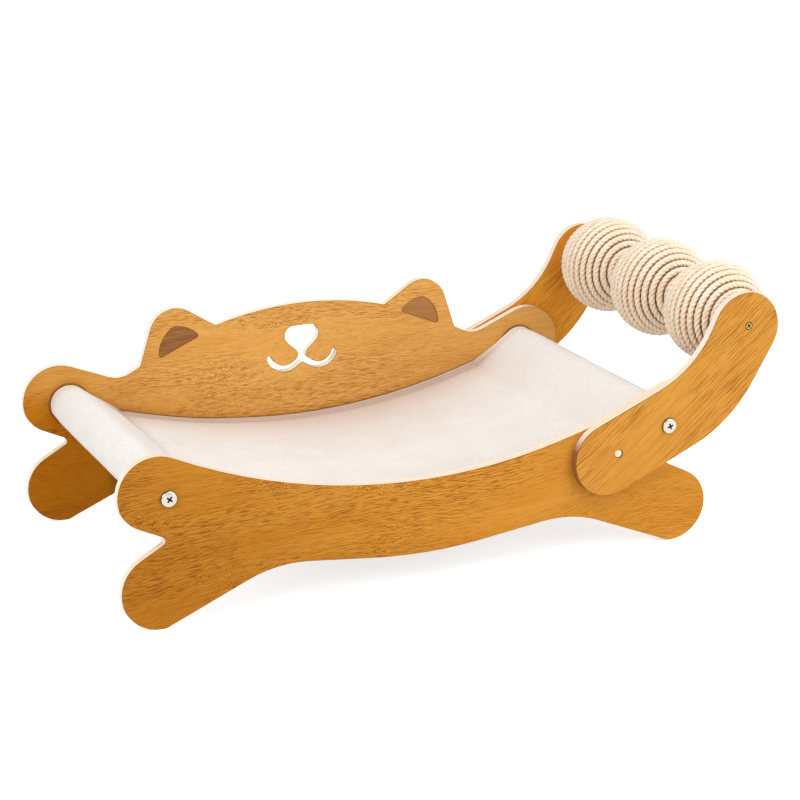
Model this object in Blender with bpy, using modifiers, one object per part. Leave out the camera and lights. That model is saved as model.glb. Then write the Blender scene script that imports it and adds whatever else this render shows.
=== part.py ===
"""Cat scratcher lounger.

Two cut boards hold a hanging cloth bed between two crossbars. Two curved arms outside the boards
carry three rope-wound balls, which turn on one axle.

Metres, +Z up. The balls are at +X and the board with the cat's head is at +Y. The origin is on the
floor, at the middle of the whole length and width. Outlines are drawn from the boards' middle.
"""
from math import acos, asin, atan2, ceil, copysign, cos, hypot, pi, radians, sin, sqrt, tau

import bmesh
import bpy
import numpy as np

# Boards
BOARD = 0.009                   # thickness of the side panels
ARM_BOARD = 0.009               # thickness of the arms
INNER_WIDTH = 0.291             # between the side panels
EDGE_EASE = 0.0003              # how far the cut edges are broken
SEAT_GAP = 0.0003               # between pieces that touch

# Side panels: feet, shoulders, belly
PANEL_LENGTH = 0.5782
FOOT_RADIUS = 0.0348
FOOT_FLAT = 0.004
RIGHT_FOOT_REACH = 0.002        # how much further the right feet reach than the left ones
HEEL_RADIUS = 0.0016
SHOULDER_TOP_RADIUS = 0.0351
SHOULDER_FLANK_RADIUS = 0.0311
SHOULDER_HEIGHT = 0.1225        # centre of the shoulder above the floor
NOTCH_RADIUS = 0.0043           # end of the notch between shoulder and foot
NOTCH_DEPTH = 0.0368            # from the panel's end to the notch's centre
BELLY_RADIUS = 0.4639
BELLY_HEIGHT = 0.0295
ARCH_RADIUS = 0.1157            # hollow between heel and belly
ARCH_RUN_TO_HEEL = 0.082
ARCH_RUN_TO_BELLY = 0.062
SADDLE_HEIGHT = 0.0994          # lowest point of the near panel's top edge

# Cat's head on the far panel
CROWN_RADIUS = 0.3334
CROWN_HEIGHT = 0.1913
EAR_RADIUS = 0.0267
EAR_TO_SHOULDER = 0.1207        # from the ear's centre to the shoulder's, along X
EAR_HEIGHT = 0.174
EAR_ROOT_IN = 0.0424            # from the ear's centre to its corner with the crown
EAR_ROOT_OUT = 0.0395           # and to its outer corner
EAR_ROOT_DROP = 0.0257          # outer corner below the ear's centre
EAR_CROWN_CORNER = 0.0015
EAR_NECK_CORNER = 0.003
NECK_RADIUS = 0.0268            # hollow between ear and shoulder
NECK_HEIGHT = 0.1377
NECK_FROM_CORNER = 0.0201

# Ear inserts, in a pocket of the far panel's inner face
EAR_INSERT_BULGE = 0.0325       # radius of its two curved sides
EAR_INSERT_THICKNESS = 0.0012
EAR_POCKET_DEPTH = 0.002
EAR_TIP_CORNER = (-0.0003, 0.003, 0.0055)       # from the ear's centre: across, up, radius
EAR_INNER_CORNER = (0.0206, -0.003, 0.0025)
EAR_OUTER_CORNER = (-0.0153, -0.0182, 0.0026)

# Nose and mouth, cut through the far panel
MOUTH_HEIGHT = 0.1418           # centre of the two smile arcs
SMILE_SPACING = 0.0187          # from the middle to each arc's centre
SMILE_RADIUS = 0.0172
SMILE_WIDTH = 0.0058
SMILE_END_ANGLE = radians(17.6)
NOSE_RISE = 0.01655             # nose corners above the smile arcs' centres
NOSE_HALF_SPACING = 0.00855
NOSE_CORNER = 0.0098
NOSE_RUN = 0.0121
NOSE_FILLET = 0.00665
NOSE_FILLET_RUN = 0.0043
LIP_RADIUS = 0.0012             # point of board between the two smile arcs
LIP_DROP = 0.0131

# Arms
ARM_END_RADIUS = 0.035
ARM_FOOT_FROM_BAR = (-0.0628, -0.0244)  # centre of the lower round end
ARM_TIP_FROM_FOOT = (0.1444, 0.1082)    # centre of the upper round end
ARM_BACK_RADIUS = 0.1347
ARM_BACK_FOOT_RUN = 0.084
ARM_BACK_TIP_RUN = 0.0407
ARM_FRONT_RADIUS = 0.1043
ARM_FRONT_TIP_RUN = 0.0124
ARM_FRONT_FOOT_RUN = 0.0722
PIN_RADIUS = 0.0041
PIN_DEPTH = 0.006               # into the side panel
PIN_SET_BACK = 0.001            # its end below the arm's face
PIN_EASE = 0.0004
PIN_FROM_BAR = (-0.053, -0.0201)

# Crossbars and their fasteners
BAR_RADIUS = 0.016
BAR_INSET = 0.0452              # from the panel's end to the bar's axis
BAR_BELOW_SHOULDER = 0.0039     # from the shoulder's centre down to the bar's axis
BAR_CHAMFER = 0.001
BOLT_RADIUS = 0.003
BOLT_HEAD_RADIUS = 0.0073
BOLT_HEAD_HEIGHT = 0.003
BOLT_HEAD_RIM = 0.0006
BOLT_CHAMFER = 0.0006
INSERT_RADIUS = 0.005
INSERT_LENGTH = 0.014
BOLT_TIP_ROOM = 0.006

# Bed
CLOTH = 0.0032
BED_SIDE_GAP = 0.0025           # to each side panel
BED_SAG = 0.0445                # from the bars' axes down to the lowest point of its upper face
BED_RADIUS = 0.65               # curve of its upper face
SEAM_FROM_BAR = 0.0509          # along X, from the bar's axis to the sleeve's seam
SEAM_CROOK = 0.003
SEAM_DEPTH = 0.007              # from the seam's line to the sleeve's inner tip
SLEEVE_TIP_RADIUS = 0.0008

# Balls and their axle
BALL_COUNT = 3
BALL_RADIUS = 0.051
BALL_PLAY = 0.0006
AXLE_RADIUS = 0.007
AXLE_FROM_TIP = (0.0025, 0.0026)
HUB_RADIUS = 0.0095
ROPE_DIAMETER = 0.0068
ROPE_SPACING = 0.00068          # between neighbouring turns
SCREW_RADIUS = 0.0018
SCREW_HEAD_RADIUS = 0.0037
SCREW_HEAD_RIM = 0.0003
SCREW_LENGTH = 0.032
SCREW_POINT = 0.004

# Fineness of round shapes
ARC_TOLERANCE = 0.00012
SAME_POINT = 0.00004
WELD = 0.000002
BAR_STEPS = 20
BOLT_STEPS = 16
SCREW_STEPS = 14
CORE_STEPS = 18
CORE_ARC_STEPS = 10
DOME_STEPS = 3
TURN_POINTS = 14                # points in one turn of rope
SMOOTH_ANGLE = radians(32)

# Places that follow from the sizes above
HALF_LENGTH = PANEL_LENGTH / 2
PANEL_Y = INNER_WIDTH / 2 + BOARD / 2
PANEL_FACE = INNER_WIDTH / 2 + BOARD
ARM_INNER_FACE = PANEL_FACE + SEAT_GAP
ARM_FACE = ARM_INNER_FACE + ARM_BOARD
ARM_Y = ARM_INNER_FACE + ARM_BOARD / 2
BAR_X = HALF_LENGTH - BAR_INSET
BAR_HEIGHT = SHOULDER_HEIGHT - BAR_BELOW_SHOULDER
BAR_LENGTH = INNER_WIDTH - 2 * SEAT_GAP
BED_WIDTH = INNER_WIDTH - 2 * BED_SIDE_GAP
BED_HEIGHT = BAR_HEIGHT - BED_SAG
ARM_FOOT = (BAR_X + ARM_FOOT_FROM_BAR[0], BAR_HEIGHT + ARM_FOOT_FROM_BAR[1])
ARM_TIP = (ARM_FOOT[0] + ARM_TIP_FROM_FOOT[0], ARM_FOOT[1] + ARM_TIP_FROM_FOOT[1])
AXLE_X = ARM_TIP[0] + AXLE_FROM_TIP[0]
AXLE_Z = ARM_TIP[1] + AXLE_FROM_TIP[1]
AXLE_LENGTH = 2 * ARM_INNER_FACE - 2 * SEAT_GAP
PIN_X = BAR_X + PIN_FROM_BAR[0]
PIN_Z = BAR_HEIGHT + PIN_FROM_BAR[1]
ORIGIN_X = (AXLE_X + BALL_RADIUS - HALF_LENGTH) / 2
SIDES = {"near": -1, "far": 1}


def clear_scene():
    for old in list(bpy.data.objects):
        bpy.data.objects.remove(old, do_unlink=True)


def new_collection(name, hidden=False):
    collection = bpy.data.collections.new(name)
    bpy.context.scene.collection.children.link(collection)
    collection.hide_render = hidden
    return collection


clear_scene()
PARTS = new_collection("cat_scratcher_lounger")
CUTTERS = new_collection("cutters", hidden=True)


def srgb(*channels):
    """Linear colour of an 8-bit screen colour."""
    linear = []
    for channel in channels:
        value = channel / 255
        linear.append(value / 12.92 if value <= 0.04045 else ((value + 0.055) / 1.055) ** 2.4)
    return (*linear, 1.0)


def new_material(name, colour, roughness, metallic=0.0):
    material = bpy.data.materials.new(name)
    material.use_nodes = True
    shader = material.node_tree.nodes["Principled BSDF"]
    shader.inputs["Base Color"].default_value = colour
    shader.inputs["Roughness"].default_value = roughness
    shader.inputs["Metallic"].default_value = metallic
    material.diffuse_color = colour
    return material


MATERIALS = {
    "panel_wood": new_material("panel_wood", srgb(214, 148, 68), 0.5),
    "arm_wood": new_material("arm_wood", srgb(221, 153, 68), 0.5),
    "bar_wood": new_material("bar_wood", srgb(225, 190, 140), 0.6),
    "core_wood": new_material("core_wood", srgb(214, 180, 132), 0.7),
    "ear_brown": new_material("ear_brown", srgb(139, 91, 50), 0.6),
    "plush": new_material("plush", srgb(247, 239, 232), 0.95),
    "sisal": new_material("sisal", srgb(236, 216, 188), 0.9),
    "bolt_steel": new_material("bolt_steel", srgb(200, 200, 200), 0.3, 1.0),
    "screw_zinc": new_material("screw_zinc", srgb(214, 180, 96), 0.35, 1.0),
    "insert_zinc": new_material("insert_zinc", srgb(190, 186, 170), 0.4, 1.0),
}


# Flat outlines


def heading(a, b):
    """Direction of the straight run that leaves circle a and meets circle b."""
    apart = hypot(b[0] - a[0], b[1] - a[1])
    lean = asin(max(-1.0, min(1.0, (a[2] - b[2]) / apart)))
    return atan2(b[1] - a[1], b[0] - a[0]) + lean


def outline(circles):
    """Points of the closed line that passes round circles (x, z, radius), counter-clockwise.

    Neighbouring circles are joined by their common tangent. A negative radius is a hollow corner,
    whose circle lies outside the shape.
    """
    runs = [heading(a, b) for a, b in zip(circles, circles[1:] + circles[:1])]
    points = []
    for index, (x, z, radius) in enumerate(circles):
        turn = (runs[index] - runs[index - 1]) % tau
        if radius < 0:
            turn -= tau
        if abs(turn) > 0.9 * tau:
            turn -= copysign(tau, turn)
        step = 2 * acos(1 - ARC_TOLERANCE / abs(radius))
        count = max(1, ceil(abs(turn) / step))
        for part in range(count + 1):
            angle = runs[index - 1] + turn * part / count
            point = (x + radius * sin(angle), z - radius * cos(angle))
            if not points or hypot(point[0] - points[-1][0], point[1] - points[-1][1]) > SAME_POINT:
                points.append(point)
    if hypot(points[0][0] - points[-1][0], points[0][1] - points[-1][1]) <= SAME_POINT:
        points.pop()
    return points


def arc_between(a, run_a, b, run_b, radius, side):
    """Circle of the given radius, joined to circles a and b by straight runs of those lengths.

    It lies to the left (side 1) or the right (side -1) of the line from a to b.
    """
    reach_a = hypot(run_a, radius - a[2])
    reach_b = hypot(run_b, radius - b[2])
    across = hypot(b[0] - a[0], b[1] - a[1])
    along = (reach_a**2 - reach_b**2 + across**2) / (2 * across)
    off = side * sqrt(max(0.0, reach_a**2 - along**2))
    x_way = (b[0] - a[0]) / across
    z_way = (b[1] - a[1]) / across
    return (a[0] + along * x_way - off * z_way, a[1] + along * z_way + off * x_way, radius)


def mirrored(circles):
    return [(-x, z, radius) for x, z, radius in reversed(circles)]


def grown(circles, amount):
    return [(x, z, radius + amount) for x, z, radius in circles]


def shoulder():
    return (SHOULDER_TOP_RADIUS - HALF_LENGTH, SHOULDER_HEIGHT, SHOULDER_TOP_RADIUS)


def body_side(foot_reach=0.0):
    """Left half of the panel below its shoulder: flank, notch, foot, heel, arch and belly."""
    flank = (SHOULDER_FLANK_RADIUS - HALF_LENGTH, SHOULDER_HEIGHT, SHOULDER_FLANK_RADIUS)
    foot = (FOOT_RADIUS - HALF_LENGTH - foot_reach, FOOT_RADIUS, FOOT_RADIUS)
    notch_height = (2 * FOOT_RADIUS + SHOULDER_HEIGHT - SHOULDER_FLANK_RADIUS) / 2
    notch = (NOTCH_DEPTH - HALF_LENGTH, notch_height, -NOTCH_RADIUS)
    heel = (foot[0] + FOOT_FLAT, HEEL_RADIUS, HEEL_RADIUS)
    belly = (0.0, BELLY_HEIGHT + BELLY_RADIUS, BELLY_RADIUS)
    arch = arc_between(heel, ARCH_RUN_TO_HEEL, belly, ARCH_RUN_TO_BELLY, -ARCH_RADIUS, -1)
    return [shoulder(), flank, notch, foot, heel, arch, belly]


def saddle():
    """Hollow top edge that touches both shoulders and is lowest in the middle."""
    across, height, radius = shoulder()
    drop = SADDLE_HEIGHT - height
    curve = (across**2 + drop**2 - radius**2) / (2 * (radius - drop))
    return (0.0, SADDLE_HEIGHT + curve, -curve)


def ear():
    return (shoulder()[0] + EAR_TO_SHOULDER, EAR_HEIGHT, EAR_RADIUS)


def head_side():
    """Left half of the head, from its crown to the hollow above the shoulder."""
    crown = (0.0, CROWN_HEIGHT - CROWN_RADIUS, CROWN_RADIUS)
    ear_x, ear_z, _ = ear()
    root_x = ear_x + EAR_ROOT_IN
    root_z = crown[1] + sqrt((CROWN_RADIUS + EAR_CROWN_CORNER) ** 2 - root_x**2)
    root = (root_x, root_z, -EAR_CROWN_CORNER)
    corner = (ear_x - EAR_ROOT_OUT, ear_z - EAR_ROOT_DROP, -EAR_NECK_CORNER)
    neck = (corner[0] - NECK_FROM_CORNER, NECK_HEIGHT + NECK_RADIUS, -NECK_RADIUS)
    return [crown, root, ear(), corner, neck]


def near_panel_outline():
    return [saddle()] + body_side() + mirrored(body_side(RIGHT_FOOT_REACH)[:-1])


def far_panel_outline():
    head = head_side()
    return head + body_side() + mirrored(body_side(RIGHT_FOOT_REACH)[:-1]) + mirrored(head[1:])


def face_outline():
    """Nose and mouth as one hole: a rounded nose, and a smile arc to each side of its stem."""
    nose = (-NOSE_HALF_SPACING, MOUTH_HEIGHT + NOSE_RISE, NOSE_CORNER)
    inner = (-SMILE_SPACING, MOUTH_HEIGHT, SMILE_WIDTH / 2 - SMILE_RADIUS)
    outer = (-SMILE_SPACING, MOUTH_HEIGHT, SMILE_WIDTH / 2 + SMILE_RADIUS)
    fillet = arc_between(nose, NOSE_RUN, inner, NOSE_FILLET_RUN, -NOSE_FILLET, 1)
    end_x = -SMILE_SPACING - SMILE_RADIUS * cos(SMILE_END_ANGLE)
    end_z = MOUTH_HEIGHT - SMILE_RADIUS * sin(SMILE_END_ANGLE)
    end = (end_x, end_z, SMILE_WIDTH / 2)
    lip = (0.0, MOUTH_HEIGHT - LIP_DROP, -LIP_RADIUS)
    side = [nose, fillet, inner, end, outer]
    return side + [lip] + mirrored(side)


def ear_insert_outline():
    """Left ear's insert: three round corners, joined by two curved sides and a straight one."""
    ear_x, ear_z, _ = ear()
    corners = []
    for across, up, radius in (EAR_INNER_CORNER, EAR_TIP_CORNER, EAR_OUTER_CORNER):
        corners.append((ear_x + across, ear_z + up, radius))
    inner, tip, outer = corners
    brow = arc_between(inner, 0.0, tip, 0.0, EAR_INSERT_BULGE, 1)
    flank = arc_between(tip, 0.0, outer, 0.0, EAR_INSERT_BULGE, 1)
    return [inner, brow, tip, flank, outer]


def arm_outline():
    foot = (*ARM_FOOT, ARM_END_RADIUS)
    tip = (*ARM_TIP, ARM_END_RADIUS)
    back = arc_between(foot, ARM_BACK_FOOT_RUN, tip, ARM_BACK_TIP_RUN, ARM_BACK_RADIUS, 1)
    front = arc_between(foot, ARM_FRONT_FOOT_RUN, tip, ARM_FRONT_TIP_RUN, -ARM_FRONT_RADIUS, 1)
    return [foot, back, tip, front]


def bed_outlines():
    """Section of the bed: the hanging sheet with a sleeve round each bar, and the two sleeve holes."""
    bed_z = BED_HEIGHT + BED_RADIUS
    seam_x = BAR_X - SEAM_FROM_BAR
    drop = sqrt(BED_RADIUS**2 - seam_x**2) / BED_RADIUS
    swing = seam_x / BED_RADIUS
    above = BED_RADIUS - SEAM_CROOK
    below = BED_RADIUS + CLOTH + SEAM_CROOK
    upper_crook = (-above * swing, bed_z - above * drop, -SEAM_CROOK)
    lower_crook = (-below * swing, bed_z - below * drop, -SEAM_CROOK)
    sleeve = (-BAR_X, BAR_HEIGHT, BAR_RADIUS + SEAT_GAP + CLOTH)
    side = [upper_crook, sleeve, lower_crook]
    sheet_top = (0.0, bed_z, -BED_RADIUS)
    sheet_under = (0.0, bed_z, BED_RADIUS + CLOTH)
    whole = [sheet_top] + side + [sheet_under] + mirrored(side)
    middle = BED_RADIUS + CLOTH / 2
    seam_z = bed_z - middle * drop
    away = hypot(seam_x - BAR_X, seam_z - BAR_HEIGHT)
    tip_x = seam_x + SEAM_DEPTH * (BAR_X - seam_x) / away
    tip_z = seam_z + SEAM_DEPTH * (BAR_HEIGHT - seam_z) / away
    tip = (tip_x, tip_z, SLEEVE_TIP_RADIUS)
    hole = [(BAR_X, BAR_HEIGHT, BAR_RADIUS + SEAT_GAP), tip]
    return [whole, hole, mirrored(hole)]


# Solids


def solid_from_curve(name, curve, collection):
    """Mesh object of a curve: its caps are welded to its sides and its faces point out."""
    drawing = bpy.data.objects.new(name + "_drawing", curve)
    collection.objects.link(drawing)
    bpy.context.view_layer.update()
    graph = bpy.context.evaluated_depsgraph_get()
    mesh = bpy.data.meshes.new_from_object(drawing.evaluated_get(graph))
    mesh.name = name
    bm = bmesh.new()
    bm.from_mesh(mesh)
    bmesh.ops.remove_doubles(bm, verts=bm.verts, dist=WELD)
    bmesh.ops.recalc_face_normals(bm, faces=bm.faces)
    bm.to_mesh(mesh)
    bm.free()
    solid = bpy.data.objects.new(name, mesh)
    solid.matrix_world = drawing.matrix_world
    collection.objects.link(solid)
    bpy.data.objects.remove(drawing, do_unlink=True)
    return solid


def plate(name, outlines, thickness, y, ease=0.0, collection=PARTS):
    """Flat piece that stands in the XZ plane, with its middle at y: an outline and its holes."""
    curve = bpy.data.curves.new(name, "CURVE")
    curve.dimensions = "2D"
    curve.fill_mode = "BOTH"
    curve.extrude = thickness / 2 - ease
    curve.bevel_depth = ease
    curve.bevel_resolution = 0
    curve.offset = -ease
    for circles in outlines:
        points = outline(circles)
        spline = curve.splines.new("POLY")
        spline.points.add(len(points) - 1)
        for spot, (x, z) in zip(spline.points, points):
            spot.co = (x, z, 0.0, 1.0)
        spline.use_cyclic_u = True
    solid = solid_from_curve(name, curve, collection)
    solid.location = (-ORIGIN_X, y, 0.0)
    solid.rotation_euler = (pi / 2, 0.0, 0.0)
    return solid


def turned(name, profile, steps, place=None, side=1, collection=PARTS):
    """Piece turned about Y. The profile is (radius, height), down its outer side; up is side * Y.

    Its place is measured from the boards' middle, or left at its parent's.
    """
    mesh = bpy.data.meshes.new(name)
    closed = profile[0][0] > 0.0
    edges = [(index, index + 1) for index in range(len(profile) - 1)]
    if closed:
        edges.append((len(profile) - 1, 0))
    mesh.from_pydata([(radius, 0.0, height) for radius, height in profile], edges, [])
    piece = bpy.data.objects.new(name, mesh)
    collection.objects.link(piece)
    screw = piece.modifiers.new("turn", "SCREW")
    screw.steps = steps
    screw.render_steps = steps
    screw.use_merge_vertices = True
    screw.merge_threshold = 0.00001
    screw.use_smooth_shade = True
    if place:
        piece.location = (place[0] - ORIGIN_X, place[1], place[2])
    piece.rotation_euler = (-side * pi / 2, 0.0, 0.0)
    return piece


def cut(piece, cutter):
    cutter.hide_render = True
    cutter.display_type = "WIRE"
    boolean = piece.modifiers.new(cutter.name, "BOOLEAN")
    boolean.operation = "DIFFERENCE"
    boolean.solver = "EXACT"
    boolean.object = cutter


def drill(piece, label, radius, x, z, low, high):
    """Round hole along Y through or into a piece, from low to high."""
    mesh = bpy.data.meshes.new(label)
    bm = bmesh.new()
    bmesh.ops.create_cone(
        bm, cap_ends=True, segments=BOLT_STEPS, radius1=radius, radius2=radius, depth=high - low
    )
    bm.to_mesh(mesh)
    bm.free()
    cutter = bpy.data.objects.new(label, mesh)
    CUTTERS.objects.link(cutter)
    cutter.location = (x - ORIGIN_X, (low + high) / 2, z)
    cutter.rotation_euler = (pi / 2, 0.0, 0.0)
    cut(piece, cutter)


def paint(piece, material):
    piece.data.materials.clear()
    piece.data.materials.append(MATERIALS[material])


def settle(piece):
    """Turn a piece's modifiers into its mesh and shade its round faces smooth."""
    graph = bpy.context.evaluated_depsgraph_get()
    mesh = bpy.data.meshes.new_from_object(piece.evaluated_get(graph))
    piece.modifiers.clear()
    piece.data = mesh
    mesh.name = piece.name
    mesh.shade_smooth()
    mesh.set_sharp_from_angle(angle=SMOOTH_ANGLE)


# The pieces


def side_panels():
    near = plate("near_side_panel", [near_panel_outline()], BOARD, -PANEL_Y, EDGE_EASE)
    far = plate("far_side_panel", [far_panel_outline(), face_outline()], BOARD, PANEL_Y, EDGE_EASE)
    for label, panel in (("near", near), ("far", far)):
        side = SIDES[label]
        reach = sorted((side * (INNER_WIDTH / 2 - BOARD), side * (PANEL_FACE + BOARD)))
        for bar, x in (("left", -BAR_X), ("right", BAR_X)):
            drill(panel, f"{label}_{bar}_panel_bolt_hole", BOLT_RADIUS + SEAT_GAP, x, BAR_HEIGHT, *reach)
        floor = sorted((side * (PANEL_FACE - PIN_DEPTH - SEAT_GAP), side * (PANEL_FACE + BOARD)))
        drill(panel, f"{label}_panel_pin_hole", PIN_RADIUS + SEAT_GAP, PIN_X, PIN_Z, *floor)
        paint(panel, "panel_wood")
    return near, far


def ear_inserts(far_panel):
    inner_face = INNER_WIDTH / 2
    insert_y = inner_face + EAR_POCKET_DEPTH - SEAT_GAP - EAR_INSERT_THICKNESS / 2
    left = ear_insert_outline()
    for label, circles in (("left", left), ("right", mirrored(left))):
        pocket_name = f"{label}_ear_pocket"
        pocket = plate(
            pocket_name, [grown(circles, SEAT_GAP)], 2 * EAR_POCKET_DEPTH, inner_face, collection=CUTTERS
        )
        cut(far_panel, pocket)
        insert = plate(f"{label}_ear_insert", [circles], EAR_INSERT_THICKNESS, insert_y)
        paint(insert, "ear_brown")


def screw_profile(grow=0.0):
    """Countersunk screw with its head's top at height 0; grow widens it into its own hole."""
    head = SCREW_HEAD_RADIUS + grow
    shank = SCREW_RADIUS + grow
    cone = SCREW_HEAD_RADIUS - SCREW_RADIUS
    rim = -SCREW_HEAD_RIM - grow
    end = -SCREW_LENGTH - grow
    profile = [(0.0, 0.0), (head, 0.0), (head, rim), (shank, rim - cone), (shank, end + SCREW_POINT)]
    return profile + [(0.0, end)]


def arms():
    for label, side in SIDES.items():
        arm = plate(f"{label}_arm", [arm_outline()], ARM_BOARD, side * ARM_Y, EDGE_EASE)
        reach = sorted((side * PANEL_FACE, side * (ARM_FACE + BOARD)))
        drill(arm, f"{label}_arm_bolt_hole", BOLT_RADIUS + SEAT_GAP, BAR_X, BAR_HEIGHT, *reach)
        drill(arm, f"{label}_arm_pin_hole", PIN_RADIUS + SEAT_GAP, PIN_X, PIN_Z, *reach)
        hole = screw_profile(SEAT_GAP)
        hole = [(0.0, ARM_BOARD), (hole[1][0], ARM_BOARD)] + hole[2:]
        place = (AXLE_X, side * ARM_FACE, AXLE_Z)
        cutter = turned(f"{label}_arm_screw_hole", hole, BOLT_STEPS, place, side, CUTTERS)
        cut(arm, cutter)
        paint(arm, "arm_wood")
        screw = turned(f"{label}_axle_screw", screw_profile(), SCREW_STEPS, place, side)
        paint(screw, "screw_zinc")


def locating_pins():
    """Dowel set back a little from the arm's face, with broken edges; it ends inside the side panel."""
    length = PIN_DEPTH + SEAT_GAP + ARM_BOARD - PIN_SET_BACK
    narrow = PIN_RADIUS - PIN_EASE
    profile = [(0.0, 0.0), (narrow, 0.0), (PIN_RADIUS, -PIN_EASE), (PIN_RADIUS, PIN_EASE - length)]
    profile += [(narrow, -length), (0.0, -length)]
    for label, side in SIDES.items():
        place = (PIN_X, side * (ARM_FACE - PIN_SET_BACK), PIN_Z)
        pin = turned(f"{label}_locating_pin", profile, BOLT_STEPS, place, side)
        paint(pin, "bar_wood")


def crossbars():
    """Dowels with a blind hole in each end for a threaded insert."""
    half = BAR_LENGTH / 2
    hole = INSERT_RADIUS + SEAT_GAP
    floor = half - INSERT_LENGTH - BOLT_TIP_ROOM
    end = [(0.0, floor), (hole, floor), (hole, half), (BAR_RADIUS - BAR_CHAMFER, half)]
    end.append((BAR_RADIUS, half - BAR_CHAMFER))
    profile = end + [(radius, -height) for radius, height in reversed(end)]
    for label, x in (("left", -BAR_X), ("right", BAR_X)):
        bar = turned(f"{label}_crossbar", profile, BAR_STEPS, (x, 0.0, BAR_HEIGHT))
        paint(bar, "bar_wood")


def bar_fasteners():
    """At each bar end a threaded insert, and a domed bolt through the board or boards outside it."""
    bore = BOLT_RADIUS + SEAT_GAP
    sleeve = [(bore, 0.0), (INSERT_RADIUS, 0.0), (INSERT_RADIUS, -INSERT_LENGTH), (bore, -INSERT_LENGTH)]
    dome_radius = (BOLT_HEAD_RADIUS**2 + (BOLT_HEAD_HEIGHT - BOLT_HEAD_RIM) ** 2) / (
        2 * (BOLT_HEAD_HEIGHT - BOLT_HEAD_RIM)
    )
    dome_angle = asin(BOLT_HEAD_RADIUS / dome_radius)
    head = []
    for step in range(DOME_STEPS + 1):
        angle = dome_angle * step / DOME_STEPS
        head.append((dome_radius * sin(angle), BOLT_HEAD_HEIGHT - dome_radius * (1 - cos(angle))))
    for label, side in SIDES.items():
        for bar, x, face in (("left", -BAR_X, PANEL_FACE), ("right", BAR_X, ARM_FACE)):
            seat = face + SEAT_GAP
            tip = BAR_LENGTH / 2 - INSERT_LENGTH - seat
            shank = [(BOLT_HEAD_RADIUS, 0.0), (BOLT_RADIUS, 0.0), (BOLT_RADIUS, tip + BOLT_CHAMFER)]
            shank += [(BOLT_RADIUS - BOLT_CHAMFER, tip), (0.0, tip)]
            place = (x, side * seat, BAR_HEIGHT)
            bolt = turned(f"{label}_{bar}_bolt", head + shank, BOLT_STEPS, place, side)
            paint(bolt, "bolt_steel")
            mouth = (x, side * BAR_LENGTH / 2, BAR_HEIGHT)
            insert = turned(f"{label}_{bar}_threaded_insert", sleeve, BOLT_STEPS, mouth, side)
            paint(insert, "insert_zinc")


def bed():
    cloth = plate("hanging_bed", bed_outlines(), BED_WIDTH, 0.0)
    paint(cloth, "plush")


def axle():
    """Dowel between the arms, with a pilot hole in each end for the arm's screw."""
    half = AXLE_LENGTH / 2
    pilot = SCREW_RADIUS + SEAT_GAP
    floor = ARM_FACE - SCREW_LENGTH - 2 * SEAT_GAP
    end = [(0.0, floor), (pilot, floor), (pilot, half), (AXLE_RADIUS - BAR_CHAMFER, half)]
    end.append((AXLE_RADIUS, half - BAR_CHAMFER))
    profile = end + [(radius, -height) for radius, height in reversed(end)]
    dowel = turned("ball_axle", profile, BAR_STEPS, (AXLE_X, 0.0, AXLE_Z))
    paint(dowel, "bar_wood")


def winding_points(radius, inner_limit):
    """Centre line of the rope: one helix on a sphere, from one pole's opening to the other's."""
    pitch = (ROPE_DIAMETER + ROPE_SPACING) / radius
    opening = asin(inner_limit / radius)
    turns = int((pi - 2 * opening) / pitch)
    start = (pi - turns * pitch) / 2
    steps = turns * TURN_POINTS + 1
    polar = start + pitch * np.arange(steps) / TURN_POINTS
    around = tau * np.arange(steps) / TURN_POINTS
    ring = radius * np.sin(polar)
    return np.stack([ring * np.cos(around), radius * np.cos(polar), ring * np.sin(around)], axis=1)


def least_gap(points, diameter):
    """Least distance between the rope's surfaces, over points at least half a turn apart."""
    apart = np.linalg.norm(points[:, None] - points[None], axis=2)
    index = np.arange(len(points))
    apart[np.abs(index[:, None] - index[None]) <= TURN_POINTS // 2] = np.inf
    return apart.min() - diameter


def rope_winding(name, points):
    curve = bpy.data.curves.new(name, "CURVE")
    curve.dimensions = "3D"
    curve.bevel_depth = ROPE_DIAMETER / 2
    curve.bevel_resolution = 1
    curve.use_fill_caps = True
    spline = curve.splines.new("POLY")
    spline.points.add(len(points) - 1)
    for spot, point in zip(spline.points, points):
        spot.co = (*point, 1.0)
    return solid_from_curve(name, curve, PARTS)


def balls():
    """Each ball is a bored core with rope wound round it, on its own hub point of the axle."""
    pitch = 2 * ARM_INNER_FACE / BALL_COUNT
    bore = AXLE_RADIUS + SEAT_GAP
    hub = pitch / 2 - BALL_PLAY / 2
    winding_radius = BALL_RADIUS - ROPE_DIAMETER / 2
    points = winding_points(winding_radius, HUB_RADIUS + ROPE_DIAMETER / 2 + SEAT_GAP)
    print(f"least gap of the rope to itself: {least_gap(points, ROPE_DIAMETER) * 1000:.2f} mm")
    core_radius = winding_radius * cos(pi / TURN_POINTS) - ROPE_DIAMETER / 2 - SEAT_GAP
    pole = asin(HUB_RADIUS / core_radius)
    profile = [(bore, hub), (HUB_RADIUS, hub)]
    for step in range(CORE_ARC_STEPS + 1):
        angle = pole + (pi - 2 * pole) * step / CORE_ARC_STEPS
        profile.append((core_radius * sin(angle), core_radius * cos(angle)))
    profile += [(HUB_RADIUS, -hub), (bore, -hub)]
    for number in range(BALL_COUNT):
        centre = bpy.data.objects.new(f"ball_{number + 1}_centre", None)
        PARTS.objects.link(centre)
        y = pitch * (number - (BALL_COUNT - 1) / 2)
        centre.location = (AXLE_X - ORIGIN_X, y, AXLE_Z)
        core = turned(f"ball_core_{number + 1}", profile, CORE_STEPS)
        core.parent = centre
        paint(core, "core_wood")
        rope = rope_winding(f"ball_rope_{number + 1}", points)
        rope.parent = centre
        paint(rope, "sisal")


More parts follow.
